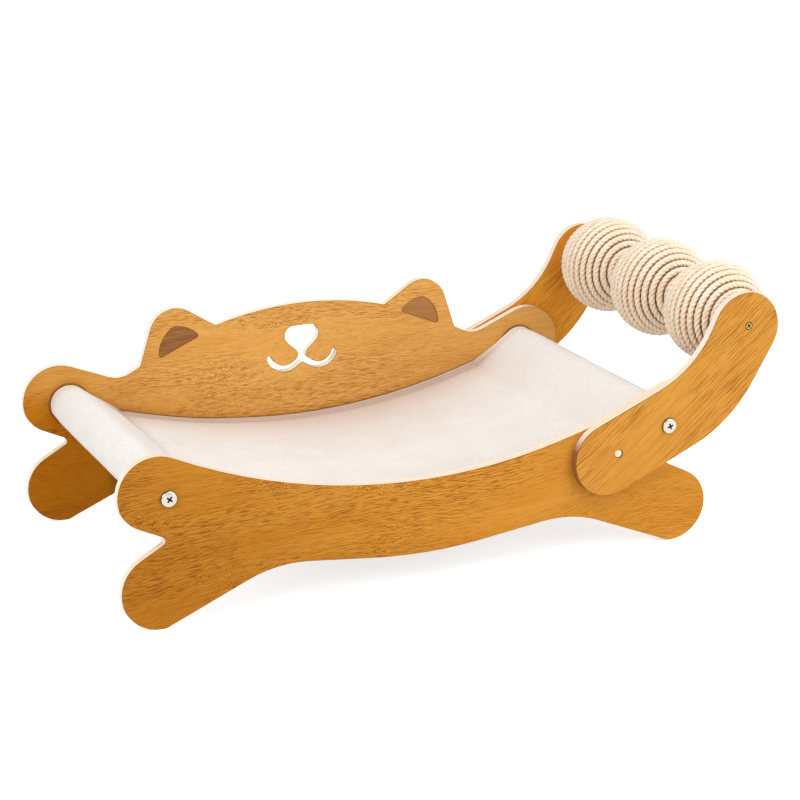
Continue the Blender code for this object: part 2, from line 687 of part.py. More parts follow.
def build():
    near_panel, far_panel = side_panels()
    ear_inserts(far_panel)
    arms()
    locating_pins()
    crossbars()
    bar_fasteners()
    bed()
    axle()
    balls()
    bpy.context.view_layer.update()
    for piece in PARTS.objects:
        if piece.type == "MESH":
            settle(piece)


build()
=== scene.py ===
"""Looks of the cat scratcher lounger.

The cloth, the rope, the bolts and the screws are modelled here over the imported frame, and the frame's other
pieces get their finishes. Metres, +Z up; the balls are at +X and the cat's head is at +Y.
"""
from math import asin, atan2, cos, exp, hypot, pi, radians, sin, sqrt, tau

import bmesh
import bpy
import numpy as np
from mathutils import Matrix, Vector, noise


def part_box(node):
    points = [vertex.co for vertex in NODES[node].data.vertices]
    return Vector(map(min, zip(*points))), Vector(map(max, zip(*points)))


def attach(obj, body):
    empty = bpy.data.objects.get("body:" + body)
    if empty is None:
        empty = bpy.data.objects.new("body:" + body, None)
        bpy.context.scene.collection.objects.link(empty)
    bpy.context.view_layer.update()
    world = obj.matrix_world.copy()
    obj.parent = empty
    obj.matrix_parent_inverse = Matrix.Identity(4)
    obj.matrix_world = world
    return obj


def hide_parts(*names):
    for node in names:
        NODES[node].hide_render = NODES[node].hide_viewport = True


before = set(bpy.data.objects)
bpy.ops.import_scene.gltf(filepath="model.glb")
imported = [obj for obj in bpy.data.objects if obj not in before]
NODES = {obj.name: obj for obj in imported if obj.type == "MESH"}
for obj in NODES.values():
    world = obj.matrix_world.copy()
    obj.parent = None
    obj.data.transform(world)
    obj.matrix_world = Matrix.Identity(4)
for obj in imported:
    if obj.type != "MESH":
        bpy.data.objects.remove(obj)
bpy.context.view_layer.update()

# Cloth
CLOTH = 0.0032                  # thickness with its pile
SLEEVE_GAP = 0.0004             # between the bar and the sleeve
SEAM_FROM_BAR = 0.0509          # along X, from the bar's axis to the seam
SEAM_ALLOWANCE = 0.011          # the sleeve's flap beyond the seam
FLAP_UNDER = CLOTH * 0.96       # the flap lies this far under the sheet
SHEET_RADIUS = 0.65             # of the curve in which the sheet hangs
SHEET_LOW = 0.0741              # lowest point of the sheet's upper face
CLOTH_STEP = 0.0024             # between points along the cloth
CLOTH_ROWS = 70                 # points across half the sheet, and round its turned-up edge
EDGE_ROWS = 7
SHEET_POINTS = 60               # of the first, uneven line along half the cloth
SLEEVE_POINTS = 40
FLAP_POINTS = 5
LIP_RADIUS = 0.0026             # bend of the turned-up long edges
LIP_RISE = 0.0022
LIP_REACH = 0.0015              # further out than the cloth's solid
LIP_TOP = ((0.35, 1.0), (0.7, 0.95), (0.88, 0.72), (0.97, 0.45), (1.0, 0.12))  # share risen, share thick
STITCH_RISE = 0.0016            # the lip's stitch line: its lift, its spread and its depth
STITCH_SPREAD = 0.0012
STITCH_DEPTH = 0.0005
SLEEVE_BEGINS = 0.03            # past its seam the cloth is all sleeve from here on
SLEEVE_PINCH = 0.035            # how far in from its ends a sleeve narrows
PINCH_THIN = 0.35               # share of its thickness that a sleeve's end loses
PINCH_DEPTH = 0.0007
FLAP_LENGTH = 0.15              # flap and underside, at each end of the cloth's line
SEAM_GROOVE = 0.006             # half the width of the sewn groove
GROOVE_DEPTH = 0.0012
SEAM_SHADE_WIDTH = 0.016              # half the width of the painted shade along a seam
RIGHT_SEAM = 0.12               # the right seam shows far less than the left one
WAVE = (12.0, 0.0008)           # waves of the cloth: how many to a metre, and how high
RIPPLE = (55.0, 0.00025)
PILE = (400.0, 0.0002)
CREASE_IN = 0.006               # the painted shade of the crease along the lip: how far in, and how wide
CREASE_WIDTH = 0.0045
SHADE_AT_ENDS = 0.02            # how far in from the lip the painted shade reaches
SHADE_AT_MIDDLE = 0.032         # and how much further near the middle of the length
SHADE_SPAN = 0.13
LIP_HEIGHT = (0.001, 0.0032)    # of the lip against a panel, where it begins to grow and where it is full
SEAMS_FADE = (0.05, 0.03)       # in from a bar's axis, where the sheet's mark gives way to the sleeve's
CONTACT_SHADOW_OVER_SHEET = (0.0007, 0.0017)  # the painted contact shadow where the cloth's edge meets a panel fades out over this much
CONTACT_SHADOW_OFF_SLEEVE = (0.0006, 0.0018)
SHADE_OVER_SHEET = 0.011        # how far the soft shade reaches on a panel
SHADE_OFF_SLEEVE = 0.009

# Rope
ROPE_RADIUS = 0.0034
ROPE_SPACING = 0.00068          # gap between turns
STRANDS = 3
STRAND_RADIUS = 0.0023
LAY = 0.0155                    # length of one twist of the strands
RING_STEP = 0.0011              # between sections along the rope
LOBE_POINTS = 6
TURN_POINTS = 400               # of the first line, to each turn
HUB_RADIUS = 0.0095
HUB_GAP = 0.0003                # between the hub and the rope's first turn
SWELL = (60.0, 0.03)            # slow change of thickness: how many to a metre, and its share
LUMP = (420.0, 0.09)            # and the lumps of the strands
LUMP_ROUND = 2.2                # how quickly the lumps change round the rope
BALL_SPINS = {1: 0.0, 2: 2.1, 3: 4.4}  # angle at which each ball's winding stands

# Fasteners
BOLT_HEAD_RADIUS = 0.0073
BOLT_HEAD_HEIGHT = 0.003
BOLT_CROWN = 0.0011             # curve of the head's dome
BOLT_RIM = 0.0009               # height of its rolled rim
BOLT_SEAT = 0.0003              # bevel round the head's seat
BOLT_RADIUS = 0.003
BOLT_TIP = 0.0006               # chamfer of the shank's end
BOLT_STEPS = 56
SCREW_SHANK = 0.0018
SCREW_EDGE = 0.0003             # thickness of the head's edge
SCREW_BEVEL = 0.00012
SCREW_PLAIN = 0.004             # without thread, under the head and at the tip
SCREW_PITCH = 0.00135
THREAD_CREST = 0.00045          # down one turn of the thread, to its crest and to its root
THREAD_ROOT = 0.0009
SCREW_STEPS = 40

# Camera and stage
LENS = 100.98                   # millimetres, as is the sensor
SENSOR = 36.0
CAMERA_TURN = radians(-24.16)   # round to the left of the front
CAMERA_LIFT = radians(17.39)    # up from level, so that it looks down
CAMERA_ROLL = radians(-0.41)
CAMERA_PLACE = (-0.8456, -1.8793, 0.7696)
WORLD_LIGHT = 0.65
FLOOR_GLOW = 0.6
FLOOR_REACH = 12.0
FLOOR_DROP = 0.0003             # the floor lies this far under the feet


def middle(node):
    low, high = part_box(node)
    return (low + high) / 2


def bar_radius():
    low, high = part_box("left_crossbar")
    return (high.x - low.x) / 2


def ball_radius():
    low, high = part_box("ball_rope_1")
    return (high.z - low.z) / 2


def srgb(red, green, blue):
    """Linear colour of an 8-bit screen colour."""
    linear = []
    for channel in (red, green, blue):
        value = channel / 255
        linear.append(value / 12.92 if value <= 0.04045 else ((value + 0.055) / 1.055) ** 2.4)
    return (*linear, 1.0)


# Finishes


class Amount:
    """A shader socket. Python expressions of amounts add their Math nodes."""

    def __init__(self, finish, socket):
        self.finish = finish
        self.socket = socket

    def maths(self, operation, *values):
        inputs = dict(enumerate(values))
        return self.finish.node("ShaderNodeMath", {"operation": operation}, inputs)

    def __add__(self, other):
        return self.maths("ADD", self, other)

    def __sub__(self, other):
        return self.maths("SUBTRACT", self, other)

    def __rsub__(self, other):
        return self.maths("SUBTRACT", other, self)

    def __mul__(self, other):
        return self.maths("MULTIPLY", self, other)

    def __truediv__(self, other):
        return self.maths("DIVIDE", self, other)

    def __rtruediv__(self, other):
        return self.maths("DIVIDE", other, self)

    def at_least(self, other):
        return self.maths("MAXIMUM", self, other)

    def root(self):
        return self.maths("SQRT", self)

    def __abs__(self):
        return self.maths("ABSOLUTE", self)

    __radd__ = __add__
    __rmul__ = __mul__


class Finish:
    """Node material of one finish, drawn in the metres of the part's own frame."""

    def __init__(self, name):
        self.material = bpy.data.materials.new(name)
        self.material.use_nodes = True
        self.tree = self.material.node_tree
        self.tree.nodes.clear()
        self.place, self.facing = self.node("ShaderNodeTexCoord", output=("Object", "Normal"))

    def node(self, kind, settings=None, inputs=None, output=0):
        """Add a node, set it, then fill its sockets; gives one output, or several for a tuple."""
        node = self.tree.nodes.new(kind)
        for name, value in (settings or {}).items():
            if name == "stops":
                elements = node.color_ramp.elements
                while len(elements) < len(value):
                    elements.new(1.0)
                for element, (position, colour) in zip(elements, value):
                    element.position = position
                    element.color = colour
            else:
                setattr(node, name, value)
        for key, value in (inputs or {}).items():
            if isinstance(value, Amount):
                self.tree.links.new(value.socket, node.inputs[key])
            else:
                node.inputs[key].default_value = value
        if isinstance(output, tuple):
            return [Amount(self, node.outputs[name]) for name in output]
        return Amount(self, node.outputs[output])

    def split(self, vector):
        return self.node("ShaderNodeSeparateXYZ", None, {0: vector}, ("X", "Y", "Z"))

    def join(self, x, y, z):
        return self.node("ShaderNodeCombineXYZ", None, {0: x, 1: y, 2: z})

    def noise(self, where, scale=1.0, detail=2.0, roughness=0.5):
        inputs = {"Vector": where, "Scale": scale, "Detail": detail, "Roughness": roughness}
        return self.node("ShaderNodeTexNoise", {"noise_dimensions": "3D"}, inputs, "Fac")

    def between(self, value, low, high, start=0.0, end=1.0, smooth=True):
        """Value mapped from low..high to start..end, held at the ends."""
        settings = {"interpolation_type": "SMOOTHSTEP" if smooth else "LINEAR"}
        inputs = {0: value, 1: low, 2: high, 3: start, 4: end}
        return self.node("ShaderNodeMapRange", settings, inputs)

    def mix(self, share, first, second, blend="MIX"):
        settings = {"data_type": "RGBA", "blend_type": blend}
        return self.node("ShaderNodeMix", settings, {0: share, 6: first, 7: second}, 2)

    def bump(self, height, distance, strength):
        inputs = {"Height": height, "Distance": distance, "Strength": strength}
        return self.node("ShaderNodeBump", None, inputs)

    def surface(self, **inputs):
        """Close the material with its shader; an underscore in a name stands for a space."""
        named = {name.replace("_", " "): value for name, value in inputs.items()}
        shader = self.node("ShaderNodeBsdfPrincipled", None, named)
        output = self.tree.nodes.new("ShaderNodeOutputMaterial")
        self.tree.links.new(shader.socket, output.inputs["Surface"])
        return self.material


def cloth_contact_shade(finish, x, z):
    """Painted contact shadow where the cloth's edge meets a panel's inner face, and the painted soft shade
    above it.
    """
    left, right = middle("left_crossbar"), middle("right_crossbar")
    half = (right.x - left.x) / 2
    from_centre = x - (left.x + right.x) / 2
    below = z - (SHEET_LOW + SHEET_RADIUS)
    lip_top = finish.between(x, *LIP_GROWS, *LIP_HEIGHT, smooth=False)
    over_sheet = SHEET_RADIUS - lip_top - (from_centre * from_centre + below * below).root()
    fade_from, fade_to = (half - inward for inward in SEAMS_FADE)
    between_seams = finish.between(abs(from_centre), fade_from, fade_to, 1.0, 0.0)
    beside = abs(from_centre) - half
    above = z - left.z
    sleeve_radius = bar_radius() + SLEEVE_GAP + CLOTH
    off_sleeve = (beside * beside + above * above).root() - sleeve_radius
    # line: the painted contact shadow along the cloth's edge; shade: the painted soft shade above it
    line = (finish.between(over_sheet, *CONTACT_SHADOW_OVER_SHEET, 1.0, 0.0) * between_seams).at_least(
        finish.between(off_sleeve, *CONTACT_SHADOW_OFF_SLEEVE, 1.0, 0.0)
    )
    shade = (finish.between(over_sheet, 0.0, SHADE_OVER_SHEET, 1.0, 0.0) * between_seams).at_least(
        finish.between(off_sleeve, 0.0, SHADE_OFF_SLEEVE, 1.0, 0.0)
    )
    return line, shade


def panel_face(finish, face, x, z, inner, foot_shade):
    """A panel's face with painted contact shadow and painted shade where the cloth meets its inner side, and
    a foot deepened by painted shade where it is given a tint for it.
    """
    line, shade = cloth_contact_shade(finish, x, z)
    # painted shade: the far panel's low left foot, behind the cloth's left roll, is deepened
    if foot_shade:
        foot = finish.between(x * 0.4 + z, *FOOT_DEEPENS, 1.0, 0.0)
        face = finish.mix(foot * inner, face, foot_shade, "MULTIPLY")
    # painted soft shade on the panel above the cloth
    shaded = shade * inner * finish.between(x, *SHADE_FADES, 0.6, 0.25)
    face = finish.mix(shaded, face, SHADE_TINT, "MULTIPLY")
    # painted contact shadow where the cloth's edge meets the panel
    return finish.mix(line * inner * 0.7, face, EDGE_BROWN_AND_SHADOW)


def ear_pocket(finish, ear, x, z):
    """Share of the painted shadow on an ear pocket's wall at a place on the far panel."""
    low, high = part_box(ear)
    beside = abs(x - (low.x + high.x) / 2) - (high.x - low.x) / 2
    above = abs(z - (low.z + high.z) / 2) - (high.z - low.z) / 2
    return finish.between(beside.at_least(above), *POCKET_REACH, 1.0, 0.0)


def cut_edge(finish, node, place, grit, sideways, upward, pale_above):
    """Pale board on a cut edge: palest on end grain and round the nose, where painted light is added too, and
    brown with painted shade where it faces down.
    """
    x, y, z = place
    low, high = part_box(node)
    far_panel = node == "far_side_panel"
    ply = finish.noise(finish.join(x * 9.0, y * 700.0, z * 9.0), detail=1.0)
    layered = finish.between(grit * 0.45 + ply * 0.55, 0.36, 0.62)
    board = finish.mix(layered, *NEAR_BOARD)
    if far_panel:
        board = finish.mix(finish.between(x, *PEACH_BEGINS), finish.mix(layered, *FAR_BOARD), board)
    # paler where the edge faces along X: end grain, and painted light on those walls
    board = finish.mix(finish.between(abs(sideways), 0.5, 0.95) * 0.5, board, END_GRAIN_AND_LIGHT)
    if far_panel:
        # painted light on the walls of the nose and mouth cut-outs
        off_nose = abs(x - (low.x + high.x) / 2).at_least(abs(z - NOSE_HEIGHT) * 1.5)
        board = finish.mix(finish.between(off_nose, *NOSE_REACH, 1.0, 0.0), board, NOSE_WALL_LIGHT)
    # painted shade: brown where the cut edge faces down and to the left
    facing_down = finish.between(upward, pale_above - 0.45, pale_above + 0.15, 1.0, 0.0)
    facing_left = finish.between(sideways, -0.2, 0.2, 1.0, 0.0)
    underside_shade = ARM_UNDERSIDE_SHADE if node.endswith("arm") else PANEL_UNDERSIDE_SHADE
    board = finish.mix(facing_down * facing_left, board, underside_shade)
    if far_panel:
        # painted shadow on the walls of the ear pockets
        for ear in ("left_ear_insert", "right_ear_insert"):
            board = finish.mix(ear_pocket(finish, ear, x, z), board, POCKET_SHADOW)
    rim_from, rim_to = (low.y + inward for inward in FRONT_RIM)
    front_rim = finish.between(y, rim_from, rim_to, 0.8, 0.0)
    if node == "near_side_panel":
        front_rim = front_rim * finish.between(x, *NEAR_RIM_ENDS, 1.0, 0.0)
    elif node == "far_arm":
        front_rim = front_rim * finish.between(x, *FAR_ARM_RIM_BEGINS)
    return finish.mix(front_rim, board, EDGE_BROWN_AND_SHADOW)


def veneer(
    name, node, tones, *, grain_angle, shift, dash_scale, wander, curl, low_shade, pale_above, foot_shade=None
):
    """Honey veneer on a board's two faces and pale board on its cut edges.

    The grain runs at an angle from +X, in sunk dashes of a scale along and across, with a painted light edge
    beside each dash. It wanders, curls in places, and painted shade deepens its tone towards the low end. The
    cut edge has painted shade, brown, where it faces down, below the upward share pale_above; on an arm that
    share is the height over the middle of its round foot.
    """
    light, middling, dark, pore = tones
    long_dash, wide_dash = dash_scale
    finish = Finish(name)
    x, y, z = place = finish.split(finish.place)
    along = x * cos(grain_angle) + z * sin(grain_angle) + shift
    across = z * cos(grain_angle) - x * sin(grain_angle)
    depth = y * 40.0
    sweep = finish.noise(finish.join(along * 3.2, across * 9.0, depth), detail=1.0)
    patch = finish.noise(finish.join(along * 7.0 + 3.0, across * 15.0, depth), detail=1.5)
    curly = finish.between(patch, 0.5, 0.6) * curl
    knead = finish.noise(finish.join(along * 300.0, across * 300.0, depth), detail=1.0)
    across = across + (sweep - 0.5) * wander + (knead - 0.5) * curly * 0.0065
    broad = finish.noise(finish.join(along * 4.0, across * 42.0, depth), detail=3.0, roughness=0.55)
    drawn = finish.join(along * long_dash * 0.3, across * 300.0, depth)
    streak = finish.noise(drawn, detail=2.0, roughness=0.6)

    def grain(offset, finer=1.0):
        where = along * long_dash * finer, (across + offset) * wide_dash * finer, depth + finer
        return finish.noise(finish.join(*where), detail=1.2, roughness=0.5)

    dash = grain(0.0)
    nick = grain(0.0, 1.6)
    seam = grain(0.0, 0.45)
    calm = finish.noise(finish.join(along * 6.0, across * 17.0, depth + 9.0), detail=1.0)
    density = finish.between(calm, 0.38, 0.56, 0.3, 1.0)
    if node.endswith("panel"):
        density = density * finish.between(x, *DASHES_THIN_OUT, 1.0, 0.5)
    pores = finish.between(dash, 0.53, 0.62) * density
    nicks = finish.between(nick, 0.53, 0.66) * density
    seams = finish.between(seam, 0.60, 0.68) * density
    relief = (grain(DASH_LIGHT_EDGE) - dash) * density
    # relief in the tone is painted light and shade on the dashes' embossed edges; in the height it makes a
    # real bump
    tone = broad * 0.30 + streak * 0.22 + relief * 1.1 + 0.26
    stops = [(0.32, dark), (0.5, middling), (0.68, light)]
    face = finish.node("ShaderNodeValToRGB", {"stops": stops}, {0: tone})
    face = finish.mix(pores * 0.7, face, pore)
    face = finish.mix(nicks * 0.35, face, pore)
    face = finish.mix(seams * 0.3, face, pore)
    # painted shade: the tone deepens towards a panel's low left end
    low_end_shade = finish.between(x + z * 0.9, *LOW_END_DEEPENS, low_shade, 0.0)
    face = finish.mix(low_end_shade, face, SHADE_TINT, "MULTIPLY")

    low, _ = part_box(node)
    side = 1 if low.y > 0 else -1
    sideways, towards, upward = finish.split(finish.facing)
    if node.endswith("arm"):
        upward = (z - low.z) / ARM_FOOT_RADIUS - 1.0
    flat = finish.between(abs(towards), 0.55, 0.62)
    if node.endswith("panel"):
        inner = finish.between(towards * -side, 0.5, 0.8)
        face = panel_face(finish, face, x, z, inner, foot_shade)
    chamfer = finish.between(abs(towards), 0.75, 0.95, 0.75, 0.0)
    face = finish.mix(chamfer, face, EDGE_BROWN_AND_SHADOW)
    grit = finish.noise(finish.join(x * 1100.0, y * 1500.0, z * 1100.0), detail=2.0)
    board = cut_edge(finish, node, place, grit, sideways, upward, pale_above)
    height = relief * 0.8 - pores - nicks * 0.5
    return finish.surface(
        Base_Color=finish.mix(flat, board, face),
        Roughness=finish.between(flat, 0.0, 1.0, 0.85, 0.55) + (streak - 0.5) * 0.12,
        Specular_IOR_Level=0.1,
        Normal=finish.bump(flat * height + (1 - flat) * grit * 0.4, 0.0002, 0.6),
    )


def ear_stain():
    """Matt brown stained veneer with a fine straight grain, a little lighter on the right ear with painted
    light, and painted shadow on the insert's recessed sides.
    """
    finish = Finish("ear_brown")
    x, y, z = finish.split(finish.place)
    fine = finish.noise(finish.join(x * 60.0, y * 50.0, z * 900.0), detail=3.0, roughness=0.6)
    broad = finish.noise(finish.join(x * 20.0, y * 50.0, z * 160.0), detail=2.0)
    tone = fine * 0.6 + broad * 0.4
    colour = finish.mix(finish.between(tone, 0.32, 0.68), srgb(124, 80, 44), srgb(162, 112, 64))
    # painted light: the stain is lighter towards the right
    lighter = finish.between(x, *EAR_LIGHTENS, 0.0, 0.5)
    colour = finish.mix(lighter, colour, srgb(184, 130, 76))
    _, towards, _ = finish.split(finish.facing)
    # painted shadow on the sides of the recessed insert
    edge = finish.between(abs(towards), 0.8, 0.97, 1.0, 0.0)
    colour = finish.mix(edge, colour, srgb(74, 44, 20))
    relief = finish.bump(fine, 0.00012, 0.4)
    return finish.surface(Base_Color=colour, Roughness=0.62, Specular_IOR_Level=0.1, Normal=relief)


def plain_wood(name, light, dark, hole_of=None):
    """Pale turned wood, grain along the bar; a pin has a painted shadow round its rim, where it sits in its
    hole.
    """
    finish = Finish(name)
    x, y, z = finish.split(finish.place)
    rings = finish.noise(finish.join(x * 190.0, y * 7.0, z * 190.0), detail=3.0, roughness=0.6)
    fibre = finish.noise(finish.join(x * 1300.0, y * 45.0, z * 1300.0), detail=2.0)
    tone = finish.between(rings * 0.6 + fibre * 0.4, 0.34, 0.66)
    colour = finish.mix(tone, dark, light)
    if hole_of:
        low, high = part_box(hole_of)
        across, above = x - (low.x + high.x) / 2, z - (low.z + high.z) / 2
        from_axis = (across * across + above * above).root()
        radius = (high.x - low.x) / 2
        # painted shadow round the pin's rim, in its hole
        rim = finish.between(from_axis, radius - PIN_SHADOW_WIDTH, radius - PIN_SHADOW_WIDTH / 4)
        colour = finish.mix(rim, colour, EDGE_BROWN_AND_SHADOW)
    return finish.surface(
        Base_Color=colour,
        Roughness=finish.between(fibre, 0.3, 0.7, 0.52, 0.68),
        Normal=finish.bump(fibre, 0.0001, 0.4),
    )


def plush():
    """Short off-white pile: soft mottling, tufts and fine specks, greyer where painted shade lies in its
    creases, along its seams and by the panels.
    """
    finish = Finish("plush")
    nap = finish.noise(finish.place, 420.0, 3.0, 0.6)
    tuft = finish.noise(finish.place, 1300.0, 2.0, 0.6)
    lie = finish.noise(finish.place, 26.0, 2.0, 0.5)
    tone = finish.between(lie * 0.2 + nap * 0.45 + tuft * 0.35, 0.36, 0.64)
    colour = finish.mix(tone, srgb(231, 224, 217), srgb(244, 239, 235))
    pressed = finish.node("ShaderNodeAttribute", {"attribute_name": "pressed"}, None, "Fac")
    # painted shade on the cloth: greyer in its creases, along seams and near the far panel
    colour = finish.mix(pressed, colour, srgb(194, 172, 158))
    return finish.surface(
        Base_Color=colour,
        Roughness=0.95,
        Specular_IOR_Level=0.2,
        Sheen_Weight=0.2,
        Sheen_Roughness=0.5,
        Sheen_Tint=srgb(255, 250, 245),
        Normal=finish.bump(nap * 0.6 + tuft * 0.5, 0.0009, 0.55),
    )


def sisal():
    """Twisted natural rope: cream fibres along each strand, with painted shade in brown down between strands
    and turns.
    """
    finish = Finish("sisal")
    strand = finish.node("ShaderNodeUVMap", {"uv_map": "strand"}, None, "UV")
    round_it, along_it, _ = finish.split(strand)
    # painted shade: browner in the hollows between strands
    hollow_shade = finish.between(abs(round_it - 0.5) * 2.0, 0.55, 1.0)
    length = {"operation": "LENGTH"}
    from_middle = finish.node("ShaderNodeVectorMath", length, {0: finish.place}, "Value")
    outer = ball_radius()
    # painted shade: browner deep down between the turns
    sunk = finish.between(from_middle, outer - ROPE_RADIUS, outer - 0.001, 1.0, 0.0)
    lay = finish.join(round_it * 16.0 + along_it * 900.0, along_it * 260.0, 0.0)
    fibre = finish.noise(lay, detail=3.0, roughness=0.65)
    fleck = finish.noise(finish.place, 760.0, 2.5, 0.7)
    patch = finish.noise(finish.place, 60.0, 2.0)
    tone = fibre * 0.55 + fleck * 0.3 + patch * 0.15
    pale = finish.between(tone, 0.39, 0.54)
    straw = finish.mix(pale, srgb(246, 212, 162), srgb(255, 253, 243))
    straw = finish.mix(finish.between(fleck, 0.53, 0.62) * 0.6, straw, srgb(204, 146, 82))
    straw = finish.mix(hollow_shade * 0.45, straw, srgb(222, 172, 112))
    return finish.surface(
        Base_Color=finish.mix(sunk * 0.85, straw, srgb(228, 168, 100)),
        Roughness=0.85,
        Specular_IOR_Level=0.25,
        Normal=finish.bump(fibre * 0.7 + fleck * 0.3, 0.0005, 0.6),
    )


def metal(name, colour, roughness, shade_to=None, rim_from=None):
    """Plated steel; a head has painted shade and a dark painted reflection from its seat up to shade_to, or
    is dark outside its rim_from radius.
    """
    finish = Finish(name)
    x, y, height = finish.split(finish.place)
    wear = finish.noise(finish.place, 700.0, 3.0, 0.6)
    duller = tuple(0.82 * channel for channel in colour[:3]) + (1.0,)
    plated = finish.mix(finish.between(wear, 0.3, 0.7), duller, colour)
    if shade_to:
        # painted shade and a dark painted reflection low on the head
        unshaded = finish.between(height, shade_to * 0.85, shade_to)
        plated = finish.mix(unshaded, srgb(66, 52, 42), plated)
    if rim_from:
        rim = finish.between((x * x + y * y).root(), rim_from, rim_from + 0.0004)
        plated = finish.mix(rim, plated, srgb(70, 56, 26))
    return finish.surface(
        Base_Color=plated,
        Roughness=finish.between(wear, 0.3, 0.7, roughness * 0.8, roughness * 1.3),
        Metallic=1.0,
        Normal=finish.bump(wear, 0.00004, 0.3),
    )


def recess_shade():
    """Painted shade, mottled, on the walls of a driver recess."""
    finish = Finish("recess_shade")
    shade_mottle = finish.noise(finish.place, 2500.0, 2.0)
    return finish.surface(
        Base_Color=finish.mix(shade_mottle, srgb(16, 12, 9), srgb(40, 33, 27)),
        Roughness=0.6,
        Metallic=0.3,
    )


# Light, middling, dark and pore tones of each veneer
NEAR_HONEY = (srgb(213, 150, 62), srgb(200, 134, 42), srgb(180, 112, 24), srgb(146, 82, 8))
FAR_HONEY = (srgb(227, 174, 100), srgb(218, 160, 82), srgb(198, 136, 56), srgb(165, 100, 30))
ARM_HONEY = (srgb(218, 158, 72), srgb(206, 142, 54), srgb(188, 120, 34), srgb(158, 92, 16))
# The far arm's tones are the arm's made deeper and more orange, as painted shade from the balls over it
FAR_ARM_SHADED_HONEY = (srgb(236, 166, 62), srgb(225, 149, 42), srgb(205, 126, 22), srgb(172, 96, 8))
# Multiplied in as painted shade: towards a panel's low end, and on a panel above the cloth
SHADE_TINT = (0.75, 0.67, 0.42, 1.0)
# Painted shade multiplied into the far panel's low left foot, behind the cloth's roll
FAR_FOOT_SHADE = (0.92, 0.66, 0.08, 1.0)

# Cut edges
NEAR_BOARD = (srgb(238, 208, 178), srgb(251, 230, 205))
FAR_BOARD = (srgb(247, 226, 192), srgb(255, 243, 217))
END_GRAIN_AND_LIGHT = srgb(255, 247, 235)
NOSE_WALL_LIGHT = srgb(255, 247, 230)
POCKET_SHADOW = srgb(92, 56, 26)
# Painted shade on cut edges that face down and to the left
PANEL_UNDERSIDE_SHADE = srgb(134, 78, 28)
ARM_UNDERSIDE_SHADE = srgb(150, 98, 52)
# Brown veneer line on cut edges and chamfers, also used as painted shadow where the cloth meets a panel and
# round a pin
EDGE_BROWN_AND_SHADOW = srgb(128, 80, 28)

# Places where a look changes, from one X to another
LIP_GROWS = (-0.25, 0.15)
DASHES_THIN_OUT = (0.02, 0.12)
PEACH_BEGINS = (0.06, 0.1)
SHADE_FADES = (0.08, 0.16)
NEAR_RIM_ENDS = (0.09, 0.12)
FAR_ARM_RIM_BEGINS = (0.16, 0.18)
EAR_LIGHTENS = (-0.1, 0.04)
LOW_END_DEEPENS = (-0.31, 0.06)  # of X with 0.9 of the height
FOOT_DEEPENS = (-0.02, 0.02)    # of the height with 0.4 of X

# Dashes to a metre, along and across the grain
SHORT_DASH = (85.0, 1000.0)
LONG_DASH = (42.0, 1200.0)
DASH_LIGHT_EDGE = 0.0004               # a dash's painted light edge lies this far across the grain

NOSE_HEIGHT = 0.149             # middle of the nose and mouth, over the floor
NOSE_REACH = (0.038, 0.042)     # from there out to where the painted light on its walls ends
POCKET_REACH = (0.0008, 0.0014)  # past an ear insert's box, where the painted shadow on the pocket's wall ends
FRONT_RIM = (0.0007, 0.0011)    # in from a board's front face, where the brown line on its edge fades out
ARM_FOOT_RADIUS = 0.035         # round end of an arm, at its lowest point
PIN_SHADOW_WIDTH = 0.0008                # of the painted shadow ring round a locating pin, in its hole
BOLT_SHADE_HEIGHT = 0.0019             # height on a bolt's head below which it has painted shade and a dark painted reflection
SCREW_RIM = 0.0027              # radius on a screw's head outside which it is dark

PANEL_GRAIN = {"dash_scale": SHORT_DASH, "low_shade": 1.0, "pale_above": -0.3}
ARM_GRAIN = {
    "grain_angle": radians(39),
    "dash_scale": LONG_DASH,
    "wander": 0.006,
    "curl": 0.0,
    "low_shade": 0.0,
    "pale_above": 0.68,
}
FINISHES = {
    "near_side_panel": veneer(
        "near_panel_veneer", "near_side_panel", NEAR_HONEY,
        grain_angle=radians(3), shift=0.0, wander=0.05, curl=1.0, **PANEL_GRAIN,
    ),
    "far_side_panel": veneer(
        "far_panel_veneer", "far_side_panel", FAR_HONEY,
        grain_angle=radians(1), shift=1.7, wander=0.04, curl=0.8, foot_shade=FAR_FOOT_SHADE, **PANEL_GRAIN,
    ),
    "near_arm": veneer("near_arm_veneer", "near_arm", ARM_HONEY, shift=3.1, **ARM_GRAIN),
    "far_arm": veneer("far_arm_veneer", "far_arm", FAR_ARM_SHADED_HONEY, shift=4.3, **ARM_GRAIN),
    "ear": ear_stain(),
    "bar": plain_wood("bar_wood", srgb(240, 212, 168), srgb(220, 184, 134)),
    "pin": plain_wood("pin_wood", srgb(252, 238, 216), srgb(234, 210, 176), "near_locating_pin"),
    "core": plain_wood("core_wood", srgb(226, 194, 148), srgb(200, 162, 112)),
    "plush": plush(),
    "sisal": sisal(),
    "steel": metal("bolt_steel", srgb(206, 199, 188), 0.22, shade_to=BOLT_SHADE_HEIGHT),
    "zinc": metal("screw_zinc", srgb(200, 172, 98), 0.3, rim_from=SCREW_RIM),
    "insert": metal("insert_zinc", srgb(190, 186, 170), 0.38),
    "recess": recess_shade(),
}


def finish_nodes():
    """Give the frame's own pieces their finishes."""
    worn = {name: name for name in ("near_side_panel", "far_side_panel", "near_arm", "far_arm")}
    worn.update({"left_ear_insert": "ear", "right_ear_insert": "ear"})
    for name in NODES:
        if name.endswith("crossbar") or name == "ball_axle":
            worn[name] = "bar"
        elif name.endswith("locating_pin"):
            worn[name] = "pin"
        elif name.startswith("ball_core"):
            worn[name] = "core"
        elif name.endswith("threaded_insert"):
            worn[name] = "insert"
    for name, finish in worn.items():
        mesh = NODES[name].data
        mesh.materials.clear()
        mesh.materials.append(FINISHES[finish])


# Cloth


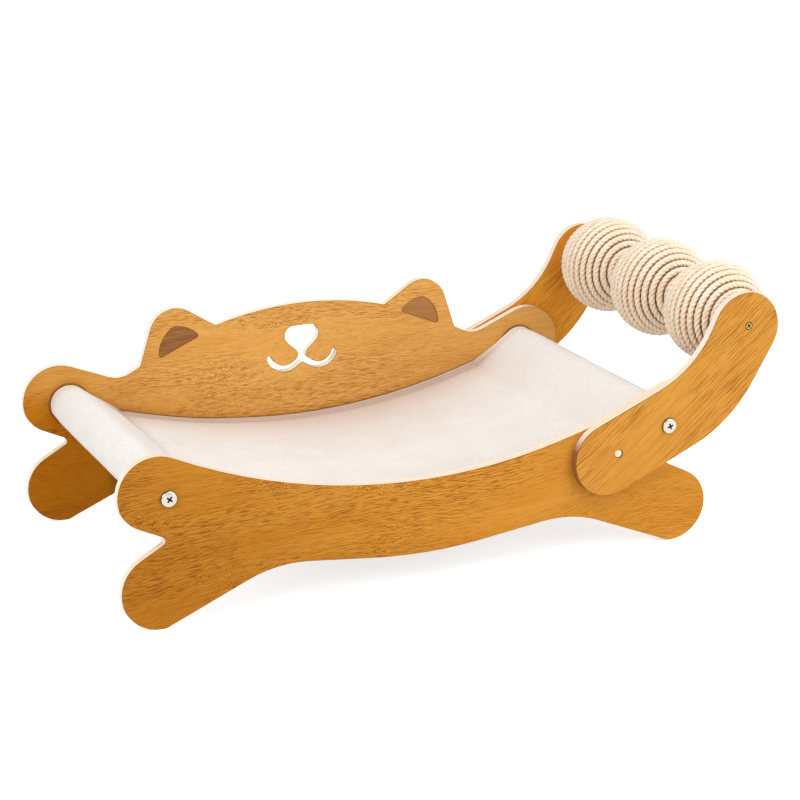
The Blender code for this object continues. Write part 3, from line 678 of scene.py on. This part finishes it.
def running_length(line):
    """Length along a flat line from its start to each of its points."""
    return np.concatenate([[0.0], np.cumsum(np.hypot(*np.diff(line, axis=0).T))])


def cloth_line():
    """Middle line of the cloth in XZ: flap, round the left bar, sheet, round the right bar, flap."""
    left = middle("left_crossbar")
    right = middle("right_crossbar")
    wrap = bar_radius() + SLEEVE_GAP + CLOTH / 2
    centre_x = (left.x + right.x) / 2
    centre_z = SHEET_LOW + SHEET_RADIUS
    half = (right.x - left.x) / 2
    radius = SHEET_RADIUS + CLOTH / 2
    bar = np.array([half, left.z])
    seam = half - SEAM_FROM_BAR

    def on_arc(across, below=0.0):
        reach = radius + below
        return np.array([across, centre_z - sqrt(reach**2 - across**2)])

    def tangent(point, side):
        """Angle round the bar at which a straight line from the point touches the sleeve."""
        reach = point - bar
        return atan2(reach[1], reach[0]) + side * np.arccos(wrap / hypot(*reach))

    upper = tangent(on_arc(seam), -1)
    lower = tangent(on_arc(seam, FLAP_UNDER), 1)
    sheet = [on_arc(across) for across in np.linspace(0.0, seam, SHEET_POINTS)]
    turn = np.linspace(upper % tau, lower % tau - tau, SLEEVE_POINTS)
    sleeve = [bar + wrap * np.array([cos(angle), sin(angle)]) for angle in turn]
    back = np.linspace(seam, seam - SEAM_ALLOWANCE, FLAP_POINTS)
    flap = [on_arc(across, FLAP_UNDER) for across in back]
    side = np.array(sheet + sleeve + flap)
    mirror = side[::-1] * [-1.0, 1.0]
    line = np.concatenate([mirror[:-1], side])
    run = running_length(line)
    count = int(run[-1] / CLOTH_STEP)
    at = np.linspace(0.0, run[-1], count + 1)
    even = np.stack([np.interp(at, run, line[:, 0]), np.interp(at, run, line[:, 1])], axis=1)
    for _ in range(2):
        even[1:-1] = 0.5 * even[1:-1] + 0.25 * (even[:-2] + even[2:])
    even[:, 0] += centre_x
    return even


def cloth_rows(half_width):
    """Across the cloth: each row's place in Y, its lift off the sheet, its lean and its thickness share.

    The long edges turn up in a hemmed lip.
    """
    rows = []
    turn_from = half_width - LIP_RADIUS
    for step in range(EDGE_ROWS + 1):
        angle = pi / 2 * step / EDGE_ROWS
        rows.append((turn_from + LIP_RADIUS * sin(angle), LIP_RADIUS * (1 - cos(angle)), angle, 1.0))
    inner = np.linspace(0.0, turn_from, CLOTH_ROWS)[:-1]
    rows = [(y, 0.0, 0.0, 1.0) for y in inner] + rows
    for lift, share in LIP_TOP:
        rows.append((half_width, LIP_RADIUS + lift * LIP_RISE, pi / 2, share))
    return [(-y, lift, -lean, share) for y, lift, lean, share in rows[:0:-1]] + rows


def lip_share(x, out_of_sheet):
    """How much of the lip stands up along the cloth: most at the right, little on the sleeves."""
    start, end = LIP_GROWS
    rise = 0.55 + 0.45 * min(1.0, max(0.0, (x - start) / (end - start)))
    return rise * (1.0 - 0.8 * out_of_sheet)


def wave_height(x, y, z, kind, shift=0.0):
    """Height of a random wave at a point, of a kind with so many to a metre and so high."""
    count, height = kind
    return noise.noise(Vector((x * count, y * count, z * count + shift))) * height


def painted_shade_share(x, y, inside, sleeve, by_seam):
    """How much painted shade the cloth gets: in the crease by the lip, in from the long edges, and at a seam.
    """
    crease = exp(-(((inside - CREASE_IN) / CREASE_WIDTH) ** 2)) * (1.0 - 0.6 * sleeve)
    reach_in = SHADE_AT_ENDS + SHADE_AT_MIDDLE * exp(-((x / SHADE_SPAN) ** 2))
    by_edge = exp(-inside / reach_in) * (1.0 - sleeve) * (1.0 if y > 0 else 0.5)
    return min(1.0, 0.55 * crease + 0.85 * by_edge + by_seam)


def cloth_points(line, rows, half_width):
    """Points of the cloth's two skins, row by row along its line, and the share of painted shade at each."""
    way = np.gradient(line, axis=0)
    way /= np.linalg.norm(way, axis=1)[:, None]
    up = np.stack([-way[:, 1], way[:, 0]], axis=1)
    left, right = middle("left_crossbar"), middle("right_crossbar")
    seam_x = [left.x + SEAM_FROM_BAR, right.x - SEAM_FROM_BAR]
    run = running_length(line)
    from_end = np.minimum(run, run[-1] - run)
    verts = []
    pressed = []
    for skin in (1, -1):
        for index, (x, z) in enumerate(line):
            beyond = max(seam_x[0] - x, x - seam_x[1])
            sleeve = min(1.0, max(0.0, beyond / SLEEVE_BEGINS))
            if from_end[index] < FLAP_LENGTH:
                sleeve = 1.0
            lip = lip_share(x, sleeve)
            on_top = from_end[index] > FLAP_LENGTH
            drawn = (1.0 if x < 0 else RIGHT_SEAM) if on_top else 0.0
            groove = drawn * max(0.0, 1.0 - abs(beyond) / SEAM_GROOVE) ** 2
            near_seam = drawn * max(0.0, 1.0 - abs(beyond) / SEAM_SHADE_WIDTH) ** 2
            for y, lift, lean, share in rows:
                lean *= lip
                inside = half_width - abs(y)
                pinch = max(0.0, 1.0 - inside / SLEEVE_PINCH) ** 2 * sleeve
                thick = CLOTH / 2 * share * (1.0 - PINCH_THIN * pinch)
                stitched = 0.0
                if share == 1.0:
                    stitched = max(0.0, 1.0 - abs(lift - STITCH_RISE) / STITCH_SPREAD) * STITCH_DEPTH
                soft = wave_height(x, y, z, WAVE)
                soft += wave_height(x, y, z, RIPPLE, 5.0)
                off = skin * (thick + wave_height(x, y, z, PILE, skin))
                fade = 0.1 + 0.9 * min(1.0, max(0.0, 0.5 + y / (2 * half_width)))
                rise = lift * lip + soft * (1.0 - sleeve * 0.6) - stitched
                rise -= GROOVE_DEPTH * groove * fade + PINCH_DEPTH * pinch
                move = rise + off * cos(lean)
                verts.append((x + up[index, 0] * move, y - off * sin(lean), z + up[index, 1] * move))
                # painted shade along a seam
                by_seam = (0.3 * groove + 0.3 * near_seam) * fade
                pressed.append(painted_shade_share(x, y, inside, sleeve, by_seam))
    return verts, pressed


def cloth_faces(count, width):
    """Faces of the cloth's two skins, of its long edges and of its two ends."""
    faces = []
    per_skin = count * width
    for index in range(count - 1):
        for row in range(width - 1):
            a = index * width + row
            faces.append((a, a + width, a + width + 1, a + 1))
            b = a + per_skin
            faces.append((b, b + 1, b + width + 1, b + width))
    for index in range(count - 1):
        for row in (0, width - 1):
            a = index * width + row
            quad = (a, a + per_skin, a + per_skin + width, a + width)
            faces.append(quad if row == 0 else quad[::-1])
    for row in range(width - 1):
        for index in (0, count - 1):
            a = index * width + row
            quad = (a, a + 1, a + 1 + per_skin, a + per_skin)
            faces.append(quad if index == 0 else quad[::-1])
    return faces


def cloth_bed():
    """The plush as one closed cloth, thick with its pile, with hemmed long edges that turn up."""
    line = cloth_line()
    low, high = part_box("hanging_bed")
    half_width = (high.y - low.y) / 2 + LIP_REACH
    rows = cloth_rows(half_width)
    verts, pressed = cloth_points(line, rows, half_width)
    mesh = bpy.data.meshes.new("plush_bed")
    mesh.from_pydata(verts, [], cloth_faces(len(line), len(rows)))
    bm = bmesh.new()
    bm.from_mesh(mesh)
    bmesh.ops.recalc_face_normals(bm, faces=bm.faces)
    bm.to_mesh(mesh)
    bm.free()
    mesh.shade_smooth()
    mesh.attributes.new("pressed", "FLOAT", "POINT").data.foreach_set("value", pressed)
    mesh.materials.append(FINISHES["plush"])
    bed = bpy.data.objects.new("plush_bed", mesh)
    bpy.context.scene.collection.objects.link(bed)
    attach(bed, "frame")
    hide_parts("hanging_bed")


# Rope


def winding_line(radius):
    """Points a ring apart along the rope's middle line, from one pole's opening to the other's."""
    pitch = (2 * ROPE_RADIUS + ROPE_SPACING) / radius
    opening = asin((HUB_RADIUS + ROPE_RADIUS + HUB_GAP) / radius)
    turns = int((pi - 2 * opening) / pitch)
    start = (pi - turns * pitch) / 2
    turn = np.linspace(0.0, turns, turns * TURN_POINTS + 1)
    polar = start + pitch * turn
    ring = radius * np.sin(polar)
    across, over = ring * np.cos(tau * turn), ring * np.sin(tau * turn)
    points = np.stack([across, radius * np.cos(polar), over], axis=1)
    steps = np.linalg.norm(np.diff(points, axis=0), axis=1)
    run = np.concatenate([[0.0], np.cumsum(steps)])
    at = np.linspace(0.0, run[-1], int(run[-1] / RING_STEP) + 1)
    even = np.stack([np.interp(at, run, points[:, axis]) for axis in range(3)], axis=1)
    return even, at


def lobed_section():
    """Points of the section of strands laid together: angle, radius and share of the way round a strand."""
    offset = ROPE_RADIUS - STRAND_RADIUS
    section = []
    for strand in range(STRANDS):
        for step in range(LOBE_POINTS):
            share = step / LOBE_POINTS
            swing = (share - 0.5) * tau / STRANDS
            side = offset * cos(swing)
            reach = side + sqrt(max(0.0, side**2 - offset**2 + STRAND_RADIUS**2))
            section.append((strand * tau / STRANDS + swing, reach, share))
    return section


def rope_mesh(spin):
    """Winding of one twisted rope round the ball's middle, turned about Y by spin."""
    radius = ball_radius() - ROPE_RADIUS
    line, at = winding_line(radius)
    way = np.gradient(line, axis=0)
    way /= np.linalg.norm(way, axis=1)[:, None]
    out = line / np.linalg.norm(line, axis=1)[:, None]
    out -= way * np.sum(out * way, axis=1)[:, None]
    out /= np.linalg.norm(out, axis=1)[:, None]
    side = np.cross(way, out)
    section = lobed_section()
    count = len(section)
    swell_rate, swell_share = SWELL
    lump_rate, lump_share = LUMP
    verts = []
    for point, o, s, run in zip(line, out, side, at):
        twist = tau * run / LAY
        thicker = 1.0 + swell_share * noise.noise(Vector((run * swell_rate, 0.0, 0.0)))
        for angle, reach, _ in section:
            turned = angle + twist
            where = (run * lump_rate, LUMP_ROUND * cos(angle), LUMP_ROUND * sin(angle))
            lump = 1.0 + lump_share * noise.noise(Vector(where))
            verts.append(point + reach * thicker * lump * (cos(turned) * o + sin(turned) * s))
    faces = []
    places = []
    for ring in range(len(line) - 1):
        for index in range(count):
            following = (index + 1) % count
            a = ring * count
            faces.append((a + index, a + following, a + count + following, a + count + index))
            share = section[index][2]
            ahead = share + 1 / LOBE_POINTS
            start, end = at[ring], at[ring + 1]
            places += [(share, start), (ahead, start), (ahead, end), (share, end)]
    for ring in (0, len(line) - 1):
        cap = [ring * count + index for index in range(count)]
        faces.append(cap if ring else cap[::-1])
        places += [(0.5, at[ring])] * count
    turn = np.array([[cos(spin), 0.0, sin(spin)], [0.0, 1.0, 0.0], [-sin(spin), 0.0, cos(spin)]])
    mesh = bpy.data.meshes.new("sisal_winding")
    mesh.from_pydata((np.array(verts) @ turn.T).tolist(), [], faces)
    layer = mesh.uv_layers.new(name="strand")
    layer.data.foreach_set("uv", np.array(places, np.float32).ravel())
    mesh.shade_smooth()
    mesh.materials.append(FINISHES["sisal"])
    return mesh


def rope_balls():
    """Each ball's winding round its core, turned to an angle of its own."""
    for number, spin in BALL_SPINS.items():
        node = f"ball_rope_{number}"
        rope = bpy.data.objects.new(f"sisal_winding_{number}", rope_mesh(spin))
        bpy.context.scene.collection.objects.link(rope)
        rope.location = middle(f"ball_core_{number}")
        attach(rope, f"ball_{number}")
        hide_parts(node)


# Fasteners


def lathe(name, profile, steps):
    """Closed solid turned about Z from (radius, height) points, both ends on the axis."""
    bm = bmesh.new()
    rings = []
    for radius, height in profile:
        if radius < 1e-9:
            rings.append([bm.verts.new((0.0, 0.0, height))])
        else:
            ring = []
            for step in range(steps):
                angle = tau * step / steps
                ring.append(bm.verts.new((radius * cos(angle), radius * sin(angle), height)))
            rings.append(ring)
    for upper, lower in zip(rings, rings[1:]):
        for step in range(steps):
            after = (step + 1) % steps
            corners = [upper[step % len(upper)], upper[after % len(upper)]]
            corners += [lower[after % len(lower)], lower[step % len(lower)]]
            unique = list(dict.fromkeys(corners))
            bm.faces.new(unique)
    bmesh.ops.recalc_face_normals(bm, faces=bm.faces)
    mesh = bpy.data.meshes.new(name)
    bm.to_mesh(mesh)
    bm.free()
    return mesh


def cross_cutter(top, depth, reach, width, foot_reach, foot_width):
    """Plus-shaped driver recess that narrows with depth, as a closed solid above and below top."""
    bm = bmesh.new()
    rings = []
    mouth = (top + 0.001, reach * 1.05, width)
    for height, long, wide in (mouth, (top - depth, foot_reach, foot_width)):
        ring = []
        for quarter in range(4):
            turn = Matrix.Rotation(quarter * pi / 2, 3, "Z")
            for corner in ((wide, wide), (long, wide), (long, -wide)):
                spot = turn @ Vector((corner[0], corner[1], 0.0))
                ring.append((spot.x, spot.y, height, quarter))
        ring.sort(key=lambda spot: atan2(spot[1], spot[0]))
        rings.append([bm.verts.new(spot[:3]) for spot in ring])
    count = len(rings[0])
    for index in range(count):
        after = (index + 1) % count
        bm.faces.new([rings[0][index], rings[0][after], rings[1][after], rings[1][index]])
    bm.faces.new(rings[0])
    bm.faces.new(rings[1])
    bmesh.ops.recalc_face_normals(bm, faces=bm.faces)
    mesh = bpy.data.meshes.new("cross_cutter")
    bm.to_mesh(mesh)
    bm.free()
    return mesh


def recessed(name, mesh, cutter_mesh, finish):
    """The turned mesh less its driver recess, whose walls are dark with painted shade."""
    mesh.materials.append(FINISHES[finish])
    cutter_mesh.materials.append(FINISHES["recess"])
    piece = bpy.data.objects.new(name, mesh)
    cutter = bpy.data.objects.new(name + "_recess", cutter_mesh)
    for part in (piece, cutter):
        bpy.context.scene.collection.objects.link(part)
    boolean = piece.modifiers.new("recess", "BOOLEAN")
    boolean.operation = "DIFFERENCE"
    boolean.solver = "EXACT"
    boolean.material_mode = "TRANSFER"
    boolean.object = cutter
    graph = bpy.context.evaluated_depsgraph_get()
    result = bpy.data.meshes.new_from_object(piece.evaluated_get(graph))
    bpy.data.objects.remove(piece, do_unlink=True)
    bpy.data.objects.remove(cutter, do_unlink=True)
    result.name = name
    result.shade_smooth()
    result.set_sharp_from_angle(angle=radians(32))
    return result


def place_fastener(name, mesh, node, head_height, turn):
    """Stand a fastener on its node's axis, its head at the node's outer end."""
    low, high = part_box(node)
    side = 1 if low.y + high.y > 0 else -1
    outer = high.y if side > 0 else low.y
    piece = bpy.data.objects.new(name, mesh)
    bpy.context.scene.collection.objects.link(piece)
    seat = ((low.x + high.x) / 2, outer - side * head_height, (low.z + high.z) / 2)
    piece.matrix_world = (
        Matrix.Translation(seat)
        @ Matrix.Rotation(-side * pi / 2, 4, "X")
        @ Matrix.Rotation(turn, 4, "Z")
    )
    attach(piece, "frame")
    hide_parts(node)


def bolt_mesh(length):
    """Pan-head bolt: low crown, rolled rim, plain shank."""
    radius = BOLT_HEAD_RADIUS
    dome_radius = radius * 0.8
    dome = BOLT_CROWN * 0.55
    base = BOLT_HEAD_HEIGHT - dome
    profile = [(0.0, BOLT_HEAD_HEIGHT)]
    for step in range(1, 8):
        share = step / 7
        profile.append((dome_radius * share, BOLT_HEAD_HEIGHT - dome * share**2))
    for step in range(1, 9):
        angle = pi / 2 * step / 8
        height = BOLT_RIM + (base - BOLT_RIM) * cos(angle) ** 0.9
        profile.append((dome_radius + radius * 0.2 * sin(angle), height))
    profile += [(radius, BOLT_RIM * 0.4), (radius - BOLT_SEAT, 0.0), (BOLT_RADIUS, 0.0)]
    profile += [(BOLT_RADIUS, -length + BOLT_TIP), (BOLT_RADIUS - BOLT_TIP, -length), (0.0, -length)]
    mesh = lathe("bolt", profile, BOLT_STEPS)
    cutter = cross_cutter(
        BOLT_HEAD_HEIGHT, depth=0.0023, reach=0.0036, width=0.00095, foot_reach=0.0018, foot_width=0.0007
    )
    return recessed("bolt", mesh, cutter, "steel")


def screw_mesh(head, length):
    """Countersunk wood screw, its thread as plain rings."""
    cone = head - SCREW_SHANK
    profile = [(0.0, 0.0), (head * 0.97, 0.0), (head, -SCREW_BEVEL), (head, -SCREW_EDGE)]
    profile.append((SCREW_SHANK, -SCREW_EDGE - cone))
    root = SCREW_SHANK * 0.78
    for height in np.arange(-SCREW_EDGE - cone - SCREW_PLAIN, -length + SCREW_PLAIN, -SCREW_PITCH):
        profile += [(root, height), (SCREW_SHANK, height - THREAD_CREST), (root, height - THREAD_ROOT)]
    profile.append((0.0, -length))
    mesh = lathe("screw", profile, SCREW_STEPS)
    cutter = cross_cutter(
        0.0, depth=0.0019, reach=0.0027, width=0.00075, foot_reach=0.0013, foot_width=0.0005
    )
    return recessed("screw", mesh, cutter, "zinc")


def fasteners():
    """Four bolts and two axle screws, each with its recess at its own angle."""
    for node, turn in (
        ("near_left_bolt", radians(52)),
        ("near_right_bolt", radians(18)),
        ("far_left_bolt", radians(70)),
        ("far_right_bolt", radians(8)),
    ):
        low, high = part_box(node)
        mesh = bolt_mesh(high.y - low.y - BOLT_HEAD_HEIGHT)
        place_fastener(f"{node}_domed", mesh, node, BOLT_HEAD_HEIGHT, turn)
    for node, turn in (("near_axle_screw", radians(35)), ("far_axle_screw", radians(12))):
        low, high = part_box(node)
        mesh = screw_mesh((high.x - low.x) / 2, high.y - low.y)
        place_fastener(f"{node}_crossed", mesh, node, 0.0, turn)


# Stage, lamps and camera


def camera():
    """Long lens at the photograph's angle: turned left, looking down, with a slight roll."""
    data = bpy.data.cameras.new("photo_view")
    data.lens = LENS
    data.sensor_width = SENSOR
    view = bpy.data.objects.new("photo_view", data)
    bpy.context.scene.collection.objects.link(view)
    turn, lift, roll = CAMERA_TURN, CAMERA_LIFT, CAMERA_ROLL
    back = Vector((sin(turn) * cos(lift), -cos(turn) * cos(lift), sin(lift)))
    right = Vector((cos(turn), sin(turn), 0.0))
    up = back.cross(right)
    across = cos(roll) * right + sin(roll) * up
    over = cos(roll) * up - sin(roll) * right
    place = Matrix((across, over, back)).transposed().to_4x4()
    place.translation = CAMERA_PLACE
    view.matrix_world = place
    bpy.context.scene.camera = view


def lamp(name, place, aim, size, power):
    """Round soft lamp that looks from its place towards its aim."""
    data = bpy.data.lights.new(name, "AREA")
    data.shape = "DISK"
    data.size = size
    data.energy = power
    light = bpy.data.objects.new(name, data)
    bpy.context.scene.collection.objects.link(light)
    light.location = place
    light.rotation_euler = (Vector(aim) - Vector(place)).to_track_quat("-Z", "Y").to_euler()


def white_to_camera(tree):
    """Share of camera, glossy and transmission rays, for a plain white background."""
    path = tree.nodes.new("ShaderNodeLightPath")
    total = path.outputs["Is Camera Ray"]
    for name in ("Is Glossy Ray", "Is Transmission Ray"):
        add = tree.nodes.new("ShaderNodeMath")
        add.operation = "ADD"
        add.use_clamp = True
        tree.links.new(total, add.inputs[0])
        tree.links.new(path.outputs[name], add.inputs[1])
        total = add.outputs[0]
    return total


def world_light():
    """Even white light on the object, and plain white behind it."""
    world = bpy.data.worlds.new("studio")
    bpy.context.scene.world = world
    world.use_nodes = True
    tree = world.node_tree
    tree.nodes.clear()
    soft = tree.nodes.new("ShaderNodeBackground")
    soft.inputs["Strength"].default_value = WORLD_LIGHT
    white = tree.nodes.new("ShaderNodeBackground")
    for background in (soft, white):
        background.inputs["Color"].default_value = (1.0, 1.0, 1.0, 1.0)
    mix = tree.nodes.new("ShaderNodeMixShader")
    output = tree.nodes.new("ShaderNodeOutputWorld")
    tree.links.new(white_to_camera(tree), mix.inputs[0])
    tree.links.new(soft.outputs[0], mix.inputs[1])
    tree.links.new(white.outputs[0], mix.inputs[2])
    tree.links.new(mix.outputs[0], output.inputs["Surface"])


def floor_finish():
    """Matt pale floor that the camera sees a little brighter, so that it meets the white background."""
    material = bpy.data.materials.new("pale_floor")
    material.use_nodes = True
    tree = material.node_tree
    tree.nodes.clear()
    matt = tree.nodes.new("ShaderNodeBsdfDiffuse")
    matt.inputs["Color"].default_value = (0.86, 0.855, 0.85, 1.0)
    glow = tree.nodes.new("ShaderNodeEmission")
    glow.inputs["Strength"].default_value = FLOOR_GLOW
    both = tree.nodes.new("ShaderNodeAddShader")
    tree.links.new(matt.outputs[0], both.inputs[0])
    tree.links.new(glow.outputs[0], both.inputs[1])
    mix = tree.nodes.new("ShaderNodeMixShader")
    output = tree.nodes.new("ShaderNodeOutputMaterial")
    tree.links.new(white_to_camera(tree), mix.inputs[0])
    tree.links.new(matt.outputs[0], mix.inputs[1])
    tree.links.new(both.outputs[0], mix.inputs[2])
    tree.links.new(mix.outputs[0], output.inputs["Surface"])
    return material


def stage():
    """The floor, just under the feet, and three soft lamps."""
    world_light()
    reach = FLOOR_REACH
    corners = [(-reach, -reach, 0), (reach, -reach, 0), (reach, reach, 0), (-reach, reach, 0)]
    mesh = bpy.data.meshes.new("pale_floor")
    mesh.from_pydata(corners, [], [(0, 1, 2, 3)])
    mesh.materials.append(floor_finish())
    floor = bpy.data.objects.new("pale_floor", mesh)
    floor.location.z = -FLOOR_DROP
    bpy.context.scene.collection.objects.link(floor)
    lamp("top_softbox", place=(0.55, -0.75, 1.6), aim=(0.1, 0.0, 0.12), size=1.0, power=10.0)
    lamp("left_softbox", place=(-1.45, -0.8, 1.0), aim=(0.1, 0.0, 0.14), size=0.9, power=11.0)
    lamp("right_fill", place=(1.2, -1.8, 0.8), aim=(0.1, 0.0, 0.12), size=1.2, power=11.0)


finish_nodes()
cloth_bed()
rope_balls()
fasteners()
stage()
camera()
bpy.context.scene.view_settings.view_transform = "Standard"
